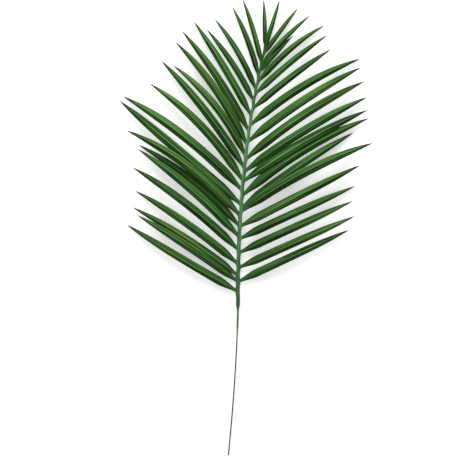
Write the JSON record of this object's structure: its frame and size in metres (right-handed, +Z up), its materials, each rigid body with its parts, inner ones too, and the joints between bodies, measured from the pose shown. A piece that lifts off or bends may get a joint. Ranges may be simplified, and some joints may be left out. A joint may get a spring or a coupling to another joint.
{
  "type": "artificial palm frond",
  "caption": "Artificial feather palm frond in moulded plastic: an arched midrib with folded leaflets on both sides, on a thin coated wire stem, lying face up.",
  "frame": {"origin": "middle of the small flat under the petiole, on the surface that the frond lies on", "axes": "+Y from the stem's cut end towards the frond's tip, +X to the right seen from above, +Z up out of the frond's upper face"},
  "size_m": [0.2881, 0.5207, 0.0244],
  "materials": {
    "leaf_plastic": "satin deep green with a paler ridge on each leaflet, yellow-green patches and brown tips",
    "stem_plastic": "satin dark grey-green sleeve",
    "wire_steel": "bare cut wire"
  },
  "bodies": {
    "root": {"frond": "leaf_plastic", "stem_coating": "stem_plastic", "stem_core": "wire_steel"}
  },
  "joints": []
}
